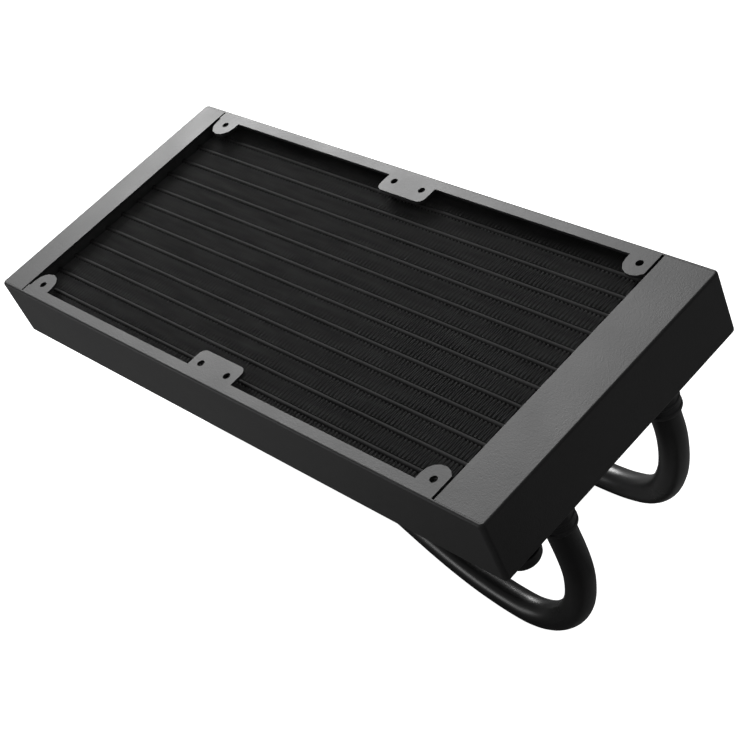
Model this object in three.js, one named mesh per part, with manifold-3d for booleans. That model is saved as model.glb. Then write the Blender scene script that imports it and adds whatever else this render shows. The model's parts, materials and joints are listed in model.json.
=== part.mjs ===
// A 240 mm liquid cooling radiator with its two rubber hoses, in millimetres.
//
// Origin: the centre of the eight fan screws, in the plane that the fans bolt to (z = 0).
// +X runs along the radiator to the tank with the two ports, +Y across it, +Z out of the fan side.
import * as THREE from 'three';
import { mergeVertices } from 'three/addons/utils/BufferGeometryUtils.js';
import Module from 'manifold-3d';

const wasm = await Module();
wasm.setup();

// ---------------------------------------------------------------- driving dimensions
const FAN = 120;                      // side of one fan
const SCREW_SQUARE = 105;             // a fan's screw spacing
const WIDTH = FAN;
const DEPTH = 27;                     // thickness of the radiator
const RETURN_END = -134;              // outer face of the narrow return tank
const PORT_END = 140;                 // outer face of the wide tank with the ports
const SHEET = 1.2;                    // sheet of the tanks and the side rails
const BEND = 1.8;                       // outer radius of the bends at the ends of the tanks
const GAP = 0.3;                      // clearance between pieces that touch

const RETURN_MOUTH = -120.2;          // open side of the return tank
const PORT_MOUTH = 118.4;             // open side of the wide tank
const HEADER = 1.5;                   // thickness of the header plates

const FLANGE = 5;                     // width of the rails' flanges
const FLANGE_START = -119.4;
const FLANGE_END = 117.2;
const CORNER_TAB = 6;                 // radius of the round ears at the corners
const MIDDLE_TAB_X = 12.5;            // half length of the double tab between the fans
const MIDDLE_TAB_Y = 46.7;            // how far in it reaches
const MIDDLE_TAB_ROUND = 3;
const SCREW_HOLE = 1.45;               // radius

const TUBES = 12;
const TUBE_PITCH = 9;
const TUBE_THICK = 1.8;
const TUBE_WALL = 0.35;
const TUBE_REACH = 1.7;               // how far a tube's end stands into the tank
const CORE_DEPTH = 18;
const FIN_DEPTH = 17;

const PORT_X = 130;
const PORT_Y = 28;
const PORT_FLANGE = 6.8;              // radius
const PORT_SPIGOT = 4;                // radius
const BORE = 2.1;                     // radius of the water way in the fittings
const BARB = 3.1;                     // radius
const BARB_LENGTH = 7.7;
const FERRULE = 6.8;                  // outer radius of a crimped ferrule
const FERRULE_BORE = 5.75;
const FERRULE_LENGTH = 9.7;

const PLUG_Y = -45;                   // the fill plug, beside the near port
const PLUG_HEAD = 6.9;                // radius
const PLUG_SHANK = 4;                 // radius of an M8 thread
const PLUG_HEX = 2.9;                 // corner radius of its hexagon socket
const THREAD_BORE = 4.25;
const BOSS = 7.2;                     // radius
const BOSS_NECK = 5.2;                // radius of the boss where it goes through the tank

const HOSE = 5.4;                     // radius
const HOSE_SIDES = 10;
const HOSE_STEPS = 20;

const ELBOW_X = -122;                 // corner of both elbow fittings
const ELBOW_Z = -106.5;
const ELBOW = 6.2;                    // radius
const COLLAR = 7.2;                   // radius of the rotary base's collar
const THREAD_G18 = 4.86;              // radius of its G1/8 thread
const JOURNAL = 3.3;                  // radius of the elbow's journal in the rotary base
const JOURNAL_BORE = 3.5;

const ROUND = 16;                     // sides of a round piece
const ARC = 3;                        // steps of a drawn arc

// Middle of each hose, from its port down, back under the radiator and along the floor.
const HOSE_A = [
  [130, -28, -36.3], [130, -28, -42], [130.4, -28, -52], [129.9, -28, -62], [127.3, -28, -73],
  [122.6, -28, -84.5], [115, -28.1, -95.5], [105.5, -28.4, -103.7], [95, -28.5, -108], [83.5, -28.1, -109],
  [67, -26.8, -109], [52.5, -24.9, -109], [38, -22.5, -109], [23.6, -19.8, -109], [9, -17.1, -109],
  [-10, -14.5, -109], [-30, -13.2, -109], [-50, -12.8, -109], [-70, -13, -108.9], [-85, -13.2, -108.1],
  [-97, -13.4, -106.7], [-105, -13.5, -106.5],
];
const HOSE_B = [
  [130, 28, -36.3], [130, 28, -42], [129.6, 28.1, -51], [127.2, 28.4, -62.5], [122.6, 29, -75],
  [115, 29.6, -87.6], [105, 31, -97.2], [94, 32.6, -103.2], [83.5, 34, -107], [72, 34.9, -109],
  [58, 35, -109], [42, 33.6, -109], [24, 30.6, -109], [4, 26.8, -109], [-16, 23.2, -109],
  [-36, 20.4, -109], [-55, 18.6, -109], [-72, 17.8, -108.8], [-86, 17.5, -107.9], [-97, 17.4, -106.7],
  [-105, 17.4, -106.5],
];

// ---------------------------------------------------------------- materials
const paint = (color, roughness) => new THREE.MeshStandardMaterial({ color, roughness, metalness: 0.1 });
const TANK_PAINT = paint(0x2b2b2c, 0.5);
const RAIL_PAINT = paint(0x2f2f30, 0.5);
const CORE_PAINT = paint(0x161617, 0.6);
const BLACK_PLASTIC = new THREE.MeshStandardMaterial({ color: 0x151516, roughness: 0.5, metalness: 0 });
const HOSE_RUBBER = new THREE.MeshStandardMaterial({ color: 0x121213, roughness: 0.55, metalness: 0 });
const SEAL_RUBBER = new THREE.MeshStandardMaterial({ color: 0x0e0e0e, roughness: 0.7, metalness: 0 });
const BLACK_METAL = new THREE.MeshStandardMaterial({ color: 0x1c1c1e, roughness: 0.4, metalness: 0.8 });
const BRIGHT_METAL = new THREE.MeshStandardMaterial({ color: 0x8f8f92, roughness: 0.35, metalness: 1 });

// ---------------------------------------------------------------- solids
// A three.js geometry as a solid that can be joined and cut.
function solid(geometry) {
  const bare = geometry.clone();
  bare.deleteAttribute('normal');
  bare.deleteAttribute('uv');
  const merged = mergeVertices(bare, 1e-4);
  return new wasm.Manifold(new wasm.Mesh({
    numProp: 3,
    vertProperties: new Float32Array(merged.attributes.position.array),
    triVerts: new Uint32Array(merged.index.array),
  }));
}

// A solid back as a three.js geometry.
function geometryOf(shape) {
  const mesh = shape.getMesh();
  const geometry = new THREE.BufferGeometry();
  geometry.setAttribute('position', new THREE.BufferAttribute(new Float32Array(mesh.vertProperties), 3));
  geometry.setIndex(new THREE.BufferAttribute(new Uint32Array(mesh.triVerts), 1));
  geometry.computeVertexNormals();
  return geometry;
}

// A box between two corners.
function block([x0, y0, z0], [x1, y1, z1]) {
  const geometry = new THREE.BoxGeometry(x1 - x0, y1 - y0, z1 - z0);
  return solid(geometry.translate((x0 + x1) / 2, (y0 + y1) / 2, (z0 + z1) / 2));
}

// An outline in X and Y as a plate from z0 to z1.
function plate(outline, z0, z1) {
  const geometry = new THREE.ExtrudeGeometry(outline, { depth: z1 - z0, bevelEnabled: false, curveSegments: ARC });
  return solid(geometry.translate(0, 0, z0));
}

// An outline in Y and Z drawn out along X, from x0 to x1.
function alongX(outline, x0, x1) {
  const geometry = new THREE.ExtrudeGeometry(outline, { depth: x1 - x0, bevelEnabled: false, curveSegments: ARC });
  const turn = new THREE.Matrix4().makeBasis(
    new THREE.Vector3(0, 1, 0), new THREE.Vector3(0, 0, 1), new THREE.Vector3(1, 0, 0));
  return solid(geometry.applyMatrix4(turn).translate(x0, 0, 0));
}

// An outline in X and Z drawn out along Y, from y0 to y1.
function alongY(outline, y0, y1) {
  const geometry = new THREE.ExtrudeGeometry(outline, { depth: y1 - y0, bevelEnabled: false, curveSegments: ARC });
  return solid(geometry.rotateX(Math.PI / 2).translate(0, y1, 0));
}

// The side view, in X and Z, of a sheet box that is square at x0 and bent round at x1, x1 being the larger.
function bentEnd(x0, x1, low, high, radius) {
  const outline = new THREE.Shape();
  outline.moveTo(x0, low);
  outline.lineTo(x1 - radius, low);
  outline.absarc(x1 - radius, low + radius, radius, -Math.PI / 2, 0, false);
  outline.absarc(x1 - radius, high - radius, radius, 0, Math.PI / 2, false);
  outline.lineTo(x0, high);
  outline.closePath();
  return outline;
}

// A closed profile of [radius, height] points turned about Z.
function turned(profile, sides = ROUND) {
  const points = profile.map(([r, z]) => new THREE.Vector2(r, z));
  const geometry = new THREE.LatheGeometry(points, sides);
  return solid(geometry.rotateX(Math.PI / 2));
}

// A round rod on Z, and a ring on Z.
const rod = (radius, z0, z1, sides = ROUND) => turned([[0, z0], [radius, z0], [radius, z1], [0, z1]], sides);
const ring = (inner, outer, z0, z1) => turned([[inner, z0], [outer, z0], [outer, z1], [inner, z1], [inner, z0]]);

// An O-ring lying round Z.
function oRing(middle, section, z) {
  const geometry = new THREE.TorusGeometry(middle, section, 6, ROUND);
  return geometry.translate(0, 0, z);
}

// A hole's outline.
function circle(x, y, radius) {
  const hole = new THREE.Path();
  hole.absarc(x, y, radius, 0, 2 * Math.PI, true);
  return hole;
}

// A flat tube's outline: two straight sides with half-round edges, thick in Y and deep in Z.
function flatOval(thick, deep, y, z) {
  const r = thick / 2;
  const straight = deep / 2 - r;
  const outline = new THREE.Shape();
  outline.absarc(y, z + straight, r, 0, Math.PI, false);
  outline.absarc(y, z - straight, r, Math.PI, 2 * Math.PI, false);
  outline.closePath();
  return outline;
}

// ---------------------------------------------------------------- scene graph
const radiator = new THREE.Group();

function piece(name, shape, material, parent = radiator) {
  const geometry = shape.isBufferGeometry ? shape : geometryOf(shape);
  const mesh = new THREE.Mesh(geometry, material);
  mesh.name = name;
  parent.add(mesh);
  return mesh;
}

// ---------------------------------------------------------------- tanks and header plates
const INSIDE_Y = WIDTH / 2 - SHEET - GAP;      // outer side of the tanks, inside the rails
const CHAMBER_Y = INSIDE_Y - SHEET;            // inner side of the tanks
const MIDDLE_Z = -DEPTH / 2;

// A folded tank from x = 0, its open mouth towards the core, to its bent outer end.
function tankShell(length) {
  const outside = bentEnd(0, length, -DEPTH, 0, BEND);
  const inside = bentEnd(-1, length - SHEET, -DEPTH + SHEET, -SHEET, BEND - SHEET);
  return alongY(outside, -INSIDE_Y, INSIDE_Y).subtract(alongY(inside, -CHAMBER_Y, CHAMBER_Y));
}

// A header plate just inside a tank's mouth, with a slot for each tube.
function headerPlate(x0, x1) {
  const y = CHAMBER_Y - GAP;
  let shape = block([x0, -y, -DEPTH + SHEET + GAP], [x1, y, -SHEET - GAP]);
  for (const tubeY of tubeRows()) {
    const slot = flatOval(TUBE_THICK + 2 * GAP, CORE_DEPTH + 2 * GAP, tubeY, MIDDLE_Z);
    shape = shape.subtract(alongX(slot, x0 - 1, x1 + 1));
  }
  return shape;
}

function tubeRows() {
  return Array.from({ length: TUBES }, (_, i) => (i - (TUBES - 1) / 2) * TUBE_PITCH);
}

const PORT_HEADER = PORT_MOUTH + GAP;
const RETURN_HEADER = RETURN_MOUTH - GAP - HEADER;

function addTanks() {
  let shell = tankShell(PORT_END - PORT_MOUTH).translate([PORT_MOUTH, 0, 0]);
  const sheetLow = -DEPTH - 1;
  const sheetHigh = -DEPTH + SHEET + 1;
  for (const y of [-PORT_Y, PORT_Y]) {
    shell = shell.subtract(rod(PORT_SPIGOT + GAP, sheetLow, sheetHigh).translate([PORT_X, y, 0]));
  }
  shell = shell.subtract(rod(BOSS_NECK + GAP, sheetLow, sheetHigh).translate([PORT_X, PLUG_Y, 0]));
  piece('port_tank_shell', shell, TANK_PAINT);
  const returnShell = tankShell(RETURN_MOUTH - RETURN_END).mirror([1, 0, 0]).translate([RETURN_MOUTH, 0, 0]);
  piece('return_tank_shell', returnShell, TANK_PAINT);
  piece('port_header_plate', headerPlate(PORT_HEADER, PORT_HEADER + HEADER), CORE_PAINT);
  piece('return_header_plate', headerPlate(RETURN_HEADER, RETURN_HEADER + HEADER), CORE_PAINT);

  // The wall between the inlet half and the outlet half of the wide tank.
  const inset = SHEET + GAP;
  const wall = bentEnd(PORT_HEADER + HEADER + GAP, PORT_END - inset, -DEPTH + inset, -inset, BEND - inset);
  piece('tank_divider', alongY(wall, -SHEET / 2, SHEET / 2), CORE_PAINT);
}

// ---------------------------------------------------------------- core
function addCore() {
  const number = (i) => String(i + 1).padStart(2, '0');
  const tubeStart = RETURN_HEADER - TUBE_REACH;
  const tubeEnd = PORT_HEADER + HEADER + TUBE_REACH;
  const rows = tubeRows();
  rows.forEach((y, i) => {
    const outline = flatOval(TUBE_THICK, CORE_DEPTH, y, MIDDLE_Z);
    outline.holes.push(flatOval(TUBE_THICK - 2 * TUBE_WALL, CORE_DEPTH - 2 * TUBE_WALL, y, MIDDLE_Z));
    piece(`flat_tube_${number(i)}`, alongX(outline, tubeStart, tubeEnd), CORE_PAINT);
  });

  // A fin strip fills each space between two tubes, and between the outer tubes and the rails.
  const finStart = RETURN_HEADER + HEADER + GAP;
  const finEnd = PORT_HEADER - GAP;
  const half = TUBE_THICK / 2 + GAP;
  const edges = [-INSIDE_Y - half, ...rows, INSIDE_Y + half];
  for (let i = 0; i <= TUBES; i += 1) {
    const low = [finStart, edges[i] + half, MIDDLE_Z - FIN_DEPTH / 2];
    const high = [finEnd, edges[i + 1] - half, MIDDLE_Z + FIN_DEPTH / 2];
    piece(`fin_strip_${number(i)}`, block(low, high), CORE_PAINT);
  }
}

// ---------------------------------------------------------------- side rails
// One flange of a rail, at +Y: a strip with a round ear at each end and a double tab in the middle.
function flangeOutline() {
  const edge = WIDTH / 2;
  const inner = edge - FLANGE;
  const ear = SCREW_SQUARE / 2 + FAN / 2;      // x of the outer screws
  const screwY = SCREW_SQUARE / 2;
  const r = MIDDLE_TAB_ROUND;
  const outline = new THREE.Shape();
  outline.moveTo(FLANGE_START, edge);
  outline.lineTo(FLANGE_START, inner);
  outline.lineTo(-ear - CORNER_TAB, inner);
  outline.absarc(-ear, screwY, CORNER_TAB, Math.PI, 2 * Math.PI, false);
  outline.lineTo(-ear + CORNER_TAB, inner);
  outline.lineTo(-MIDDLE_TAB_X, inner);
  outline.absarc(-MIDDLE_TAB_X + r, MIDDLE_TAB_Y + r, r, Math.PI, 1.5 * Math.PI, false);
  outline.absarc(MIDDLE_TAB_X - r, MIDDLE_TAB_Y + r, r, 1.5 * Math.PI, 2 * Math.PI, false);
  outline.lineTo(MIDDLE_TAB_X, inner);
  outline.lineTo(ear - CORNER_TAB, inner);
  const cut = Math.acos((FLANGE_END - ear) / CORNER_TAB);    // the ear is cut flat beside the tank
  outline.absarc(ear, screwY, CORNER_TAB, Math.PI, 2 * Math.PI - cut, false);
  outline.lineTo(FLANGE_END, edge);
  outline.closePath();
  for (const fan of [-FAN / 2, FAN / 2]) {
    for (const side of [-SCREW_SQUARE / 2, SCREW_SQUARE / 2]) {
      outline.holes.push(circle(fan + side, screwY, SCREW_HOLE));
    }
  }
  return outline;
}

// A rail is one bent sheet: a wall along the whole side, and a flange on the front and the back.
function addRails() {
  const half = (end) => alongY(bentEnd(-1, end, -DEPTH, 0, BEND), WIDTH / 2 - SHEET, WIDTH / 2);
  const wall = half(PORT_END).add(half(-RETURN_END).mirror([1, 0, 0]));
  const outline = flangeOutline();
  const rail = wall.add(plate(outline, -SHEET, 0)).add(plate(outline, -DEPTH, -DEPTH + SHEET));
  piece('side_rail_far', rail, RAIL_PAINT);
  piece('side_rail_near', rail.mirror([0, 1, 0]), RAIL_PAINT);
}

// ---------------------------------------------------------------- hose fittings
// The bore and barbs of a hose stub on Z, with the hose end up: [radius, height] from its flange.
function barbProfile(base) {
  const teeth = 2;
  const tooth = BARB_LENGTH / teeth;
  const profile = [];
  for (let i = 0; i < teeth; i += 1) {
    profile.push([BARB + 0.35, base + i * tooth], [BARB - 0.2, base + (i + 1) * tooth]);
  }
  return profile;
}

// A crimped ferrule on Z, standing GAP off the flange that it closes on.
function ferrule() {
  const top = GAP + FERRULE_LENGTH;
  const edge = 0.5;
  const lip = 1;                               // thickness of its turned-in lip
  const neck = FERRULE_BORE - 1.4;             // radius inside the lip
  return turned([
    [neck, GAP], [FERRULE - edge, GAP], [FERRULE, GAP + edge], [FERRULE, top - edge], [FERRULE - edge, top],
    [FERRULE_BORE, top], [FERRULE_BORE, GAP + lip], [neck, GAP + lip], [neck, GAP],
  ]);
}

// The two ports under the wide tank. Each group's +Z points down, out of the tank.
function addPorts() {
  const flange = 1;
  const spigot = SHEET + 1;
  for (const [letter, y] of [['a', -PORT_Y], ['b', PORT_Y]]) {
    const group = new THREE.Group();
    group.position.set(PORT_X, y, -DEPTH - GAP);
    group.rotation.x = Math.PI;
    radiator.add(group);
    const stub = turned([
      [BORE, -spigot], [PORT_SPIGOT, -spigot], [PORT_SPIGOT, 0], [PORT_FLANGE, 0], [PORT_FLANGE, flange],
      ...barbProfile(flange), [BORE, flange + BARB_LENGTH], [BORE, -spigot],
    ]);
    piece(`hose_port_${letter}`, stub, BLACK_METAL, group);
    const collar = piece(`port_ferrule_${letter}`, ferrule(), BLACK_METAL, group);
    collar.position.z = flange;
  }
}

// The fill plug with its boss and seal. The group's +Z points down, out of the tank.
function addFillPlug() {
  const bossHeight = 2.6;
  const bossDepth = 5;
  const headHeight = 5.2;
  const shank = 7.5;
  const seal = 0.7;
  const group = new THREE.Group();
  group.position.set(PORT_X, PLUG_Y, -DEPTH - GAP);
  group.rotation.x = Math.PI;
  radiator.add(group);

  const boss = turned([
    [THREAD_BORE, -bossDepth], [BOSS_NECK, -bossDepth], [BOSS_NECK, 0], [BOSS, 0], [BOSS, bossHeight - 0.4],
    [BOSS - 0.4, bossHeight], [THREAD_BORE, bossHeight], [THREAD_BORE, -bossDepth],
  ]);
  piece('fill_port_boss', boss, TANK_PAINT, group);
  piece('fill_plug_seal', oRing(PLUG_SHANK + 1.05, seal, bossHeight + 0.1 + seal), SEAL_RUBBER, group);

  const under = bossHeight + 2 * seal + 0.2;
  const end = under + headHeight;
  const socketDepth = 3.2;
  const plug = turned([
    [0, under - shank - 1], [PLUG_SHANK - 0.8, under - shank - 1], [PLUG_SHANK, under - shank], [PLUG_SHANK, under],
    [PLUG_HEAD, under], [PLUG_HEAD, end - 1.6], [PLUG_HEAD - 0.5, end - 0.5], [PLUG_HEAD - 1.6, end], [0, end],
  ]).subtract(rod(PLUG_HEX, end - socketDepth, end + 1, 6));
  piece('fill_plug', plug, BLACK_METAL, group);
}

// ---------------------------------------------------------------- elbow fittings
// One elbow, with its corner at the group's origin. The hose comes in along +X and the base points
// along +Y. Shapes are turned on Z, so the hose leg and the base leg are swung round to X and Y.
function addElbow(letter, y) {
  const group = new THREE.Group();
  group.position.set(ELBOW_X, y, ELBOW_Z);
  radiator.add(group);
  const toX = (shape) => shape.rotate([0, 90, 0]);
  const toY = (shape) => shape.rotate([-90, 0, 0]);

  const hoseLeg = 9;
  const baseLeg = 7.5;
  const journalEnd = 16.2;
  const sealAt = 10.4;
  const clipAt = 14.9;
  const groove = 0.6;                          // half width of the seal's and the clip's grooves
  const sealRoot = JOURNAL - 0.85;
  const clipRoot = JOURNAL - 0.7;
  const outside = toX(turned([
    [0, 0], [ELBOW, 0], [ELBOW, hoseLeg], ...barbProfile(hoseLeg), [0, hoseLeg + BARB_LENGTH],
  ]));
  const journal = toY(turned([
    [0, 0], [ELBOW, 0], [ELBOW, baseLeg], [JOURNAL, baseLeg],
    [JOURNAL, sealAt - groove], [sealRoot, sealAt - groove], [sealRoot, sealAt + groove], [JOURNAL, sealAt + groove],
    [JOURNAL, clipAt - groove], [clipRoot, clipAt - groove], [clipRoot, clipAt + groove], [JOURNAL, clipAt + groove],
    [JOURNAL, journalEnd], [0, journalEnd],
  ]));
  const corner = solid(new THREE.SphereGeometry(ELBOW, ROUND, ROUND / 2));
  const way = 1.7;                             // radius of the elbow's water way
  const body = outside.add(journal).add(corner)
    .subtract(toX(rod(way, 0, hoseLeg + BARB_LENGTH + 1, 12)))
    .subtract(toY(rod(way, -way, journalEnd + 1, 12)));
  piece(`elbow_${letter}`, body, BLACK_PLASTIC, group);

  const crimp = new THREE.Group();
  crimp.rotation.y = Math.PI / 2;
  crimp.position.x = hoseLeg;
  group.add(crimp);
  piece(`elbow_ferrule_${letter}`, ferrule(), BLACK_METAL, crimp);

  const baseGroup = new THREE.Group();
  baseGroup.rotation.x = -Math.PI / 2;
  group.add(baseGroup);
  const start = baseLeg + GAP;
  const collarEnd = start + 4.2;
  const end = collarEnd + 6;
  const shoulder = end - 4;
  const edge = 0.5;
  const mouth = JOURNAL_BORE + 0.7;            // radius of the wider end that takes the clip
  const base = turned([
    [JOURNAL_BORE, start], [COLLAR - edge, start], [COLLAR, start + edge], [COLLAR, collarEnd - edge],
    [COLLAR - edge, collarEnd], [THREAD_G18, collarEnd], [THREAD_G18, end - edge], [THREAD_G18 - edge, end],
    [mouth, end], [mouth, shoulder], [JOURNAL_BORE, shoulder], [JOURNAL_BORE, start],
  ]);
  piece(`rotary_base_${letter}`, base, BRIGHT_METAL, baseGroup);
  piece(`base_seal_${letter}`, oRing(THREAD_G18 + 1, 0.75, collarEnd + 0.85), SEAL_RUBBER, baseGroup);
  piece(`swivel_seal_${letter}`, oRing(JOURNAL - 0.35, 0.38, sealAt), SEAL_RUBBER, baseGroup);
  piece(`swivel_clip_${letter}`, ring(JOURNAL - 0.5, JOURNAL + 0.5, clipAt - 0.3, clipAt + 0.3), BRIGHT_METAL,
    baseGroup);
}

// ---------------------------------------------------------------- hoses
function addHose(letter, route) {
  const middle = new THREE.CatmullRomCurve3(route.map((p) => new THREE.Vector3(...p)), false, 'centripetal');
  const section = new THREE.Shape();
  for (let i = 0; i < HOSE_SIDES; i += 1) {
    const angle = (2 * Math.PI * i) / HOSE_SIDES;
    const [u, v] = [HOSE * Math.cos(angle), HOSE * Math.sin(angle)];
    if (i === 0) section.moveTo(u, v);
    else section.lineTo(u, v);
  }
  section.closePath();
  const tube = new THREE.ExtrudeGeometry(section, {
    steps: HOSE_STEPS, extrudePath: middle, bevelEnabled: false,
  });
  piece(`hose_${letter}`, solid(tube), HOSE_RUBBER);
}

addTanks();
addCore();
addRails();
addPorts();
addFillPlug();
addElbow('a', HOSE_A.at(-1)[1]);
addElbow('b', HOSE_B.at(-1)[1]);
addHose('a', HOSE_A);
addHose('b', HOSE_B);

export default radiator;
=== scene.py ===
"""The looks of a liquid cooling radiator and its two hoses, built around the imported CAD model."""
import json
import math

import bmesh
import bpy
from mathutils import Matrix, Vector


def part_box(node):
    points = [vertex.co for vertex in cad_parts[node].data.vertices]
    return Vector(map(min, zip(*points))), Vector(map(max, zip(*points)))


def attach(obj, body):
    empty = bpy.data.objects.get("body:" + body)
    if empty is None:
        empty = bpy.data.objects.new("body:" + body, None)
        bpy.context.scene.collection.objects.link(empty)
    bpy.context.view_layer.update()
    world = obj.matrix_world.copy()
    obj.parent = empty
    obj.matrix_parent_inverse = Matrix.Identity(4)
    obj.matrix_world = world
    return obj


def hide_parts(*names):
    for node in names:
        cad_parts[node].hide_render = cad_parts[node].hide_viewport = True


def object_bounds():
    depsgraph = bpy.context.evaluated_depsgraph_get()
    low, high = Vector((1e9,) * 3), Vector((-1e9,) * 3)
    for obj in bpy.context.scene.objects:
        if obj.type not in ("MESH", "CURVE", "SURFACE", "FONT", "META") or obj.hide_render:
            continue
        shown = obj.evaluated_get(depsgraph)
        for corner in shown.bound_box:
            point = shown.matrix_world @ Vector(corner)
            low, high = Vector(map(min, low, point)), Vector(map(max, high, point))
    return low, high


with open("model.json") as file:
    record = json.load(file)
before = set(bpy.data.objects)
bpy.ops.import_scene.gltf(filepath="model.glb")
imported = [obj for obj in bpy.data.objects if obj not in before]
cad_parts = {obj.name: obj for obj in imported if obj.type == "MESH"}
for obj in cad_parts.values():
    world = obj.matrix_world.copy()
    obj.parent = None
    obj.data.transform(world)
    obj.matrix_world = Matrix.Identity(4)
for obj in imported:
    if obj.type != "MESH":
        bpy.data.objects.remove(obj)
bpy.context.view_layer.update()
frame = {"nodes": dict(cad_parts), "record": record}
NODES = frame["nodes"]
MM = 0.001

# ---------------------------------------------------------------- camera
CAMERA_AT = Vector((0.4481, -0.2314, 0.3662))
CAMERA_FORWARD = Vector((-0.6827, 0.3572, -0.6374))
CAMERA_UP = Vector((-0.3005, 0.6580, 0.6905))
LENS = 83.35
SENSOR = 36


def add_camera():
    forward = CAMERA_FORWARD.normalized()
    right = forward.cross(CAMERA_UP).normalized()
    up = right.cross(forward)
    data = bpy.data.cameras.new("camera")
    data.lens, data.sensor_width = LENS, SENSOR
    data.clip_start, data.clip_end = 0.01, 20
    camera = bpy.data.objects.new("camera", data)
    bpy.context.collection.objects.link(camera)
    turn = Matrix((right, up, -forward)).transposed().to_4x4()
    camera.matrix_world = Matrix.Translation(CAMERA_AT) @ turn
    bpy.context.scene.camera = camera


add_camera()


# ---------------------------------------------------------------- materials
class Shader:
    """A material's node tree, with short calls for the nodes that the finishes share."""

    def __init__(self, name, color, roughness, metallic=0.0, specular=0.5):
        self.material = bpy.data.materials.new(name)
        self.material.use_nodes = True
        self.nodes = self.material.node_tree.nodes
        self.links = self.material.node_tree.links
        self.skin = self.nodes["Principled BSDF"]
        self.skin.inputs["Base Color"].default_value = (*color, 1)
        self.skin.inputs["Roughness"].default_value = roughness
        self.skin.inputs["Metallic"].default_value = metallic
        self.skin.inputs["Specular IOR Level"].default_value = specular
        self.place = self.nodes.new("ShaderNodeTexCoord").outputs["Object"]

    def noise(self, scale, detail=3.0, stretch=(1, 1, 1)):
        """Noise in the part's own metres. stretch shortens the grain along an axis."""
        mapping = self.nodes.new("ShaderNodeMapping")
        mapping.inputs["Scale"].default_value = stretch
        self.links.new(self.place, mapping.inputs["Vector"])
        node = self.nodes.new("ShaderNodeTexNoise")
        node.inputs["Scale"].default_value = scale
        node.inputs["Detail"].default_value = detail
        self.links.new(mapping.outputs["Vector"], node.inputs["Vector"])
        return node.outputs["Fac"]

    def spread(self, value, low, high):
        """A noise value spread between two numbers."""
        node = self.nodes.new("ShaderNodeMapRange")
        node.inputs["From Min"].default_value = 0.3
        node.inputs["From Max"].default_value = 0.7
        node.inputs["To Min"].default_value = low
        node.inputs["To Max"].default_value = high
        self.links.new(value, node.inputs["Value"])
        return node.outputs["Result"]

    def colors(self, value, dark, light):
        """A noise value as a colour between two colours."""
        node = self.nodes.new("ShaderNodeValToRGB")
        node.color_ramp.elements[0].position = 0.3
        node.color_ramp.elements[0].color = (*dark, 1)
        node.color_ramp.elements[1].position = 0.7
        node.color_ramp.elements[1].color = (*light, 1)
        self.links.new(value, node.inputs["Fac"])
        self.links.new(node.outputs["Color"], self.skin.inputs["Base Color"])

    def rough(self, value, low, high):
        self.links.new(self.spread(value, low, high), self.skin.inputs["Roughness"])

    def bump(self, value, depth):
        """Raises the surface by depth metres where value is 1."""
        node = self.nodes.new("ShaderNodeBump")
        node.inputs["Strength"].default_value = 1
        node.inputs["Distance"].default_value = depth
        self.links.new(value, node.inputs["Height"])
        before = self.skin.inputs["Normal"]
        if before.is_linked:
            self.links.new(before.links[0].from_socket, node.inputs["Normal"])
        self.links.new(node.outputs["Normal"], before)


def powder_coat(name, level):
    """Satin black powder coat with a fine pebbled skin."""
    shader = Shader(name, (level,) * 3, 0.5)
    cloud = shader.noise(35, 2)
    grain = shader.noise(1800, 2)
    shader.colors(cloud, (level * 0.85,) * 3, (level * 1.15, level * 1.15, level * 1.18))
    shader.rough(cloud, 0.48, 0.54)
    shader.bump(shader.noise(320, 2), 0.00002)
    shader.bump(shader.noise(900, 2), 0.00003)
    shader.bump(grain, 0.00003)
    return shader.material


def core_paint(name, level, roughness, specular=0.5):
    """Thin black paint over brazed aluminium, with streaks of flux along the tubes."""
    shader = Shader(name, (level,) * 3, roughness, specular=specular)
    streak = shader.noise(300, 3, stretch=(0.15, 1, 1))
    shader.colors(streak, (level * 0.7,) * 3, (level * 1.3,) * 3)
    shader.rough(streak, roughness - 0.06, roughness + 0.08)
    shader.bump(shader.noise(1500, 2), 0.00002)
    return shader.material


def hose_rubber(name):
    """Smooth black rubber with a faint fine bump and dust in its skin."""
    shader = Shader(name, (0.012,) * 3, 0.3)
    cloud = shader.noise(60, 3)
    shader.colors(cloud, (0.009,) * 3, (0.016, 0.016, 0.0165))
    shader.rough(cloud, 0.27, 0.35)
    shader.bump(shader.noise(900, 3), 0.00001)
    return shader.material


def turned_metal(name, color, roughness, metallic):
    """Metal from a lathe, with fine marks from the tool."""
    shader = Shader(name, color, roughness, metallic)
    marks = shader.noise(2500, 2)
    shader.colors(shader.noise(200, 2), tuple(c * 0.85 for c in color), tuple(c * 1.1 for c in color))
    shader.rough(marks, roughness - 0.05, roughness + 0.08)
    shader.bump(marks, 0.000003)
    return shader.material


def moulded_plastic(name):
    """Black glass-filled plastic with a sparked moulding grain."""
    shader = Shader(name, (0.014,) * 3, 0.5)
    shader.colors(shader.noise(120, 2), (0.012,) * 3, (0.018,) * 3)
    shader.rough(shader.noise(700, 2), 0.45, 0.6)
    shader.bump(shader.noise(2200, 3), 0.00003)
    return shader.material


def seal_rubber(name):
    shader = Shader(name, (0.008,) * 3, 0.6)
    shader.rough(shader.noise(800, 2), 0.5, 0.68)
    shader.bump(shader.noise(2600, 2), 0.00001)
    return shader.material


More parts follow.
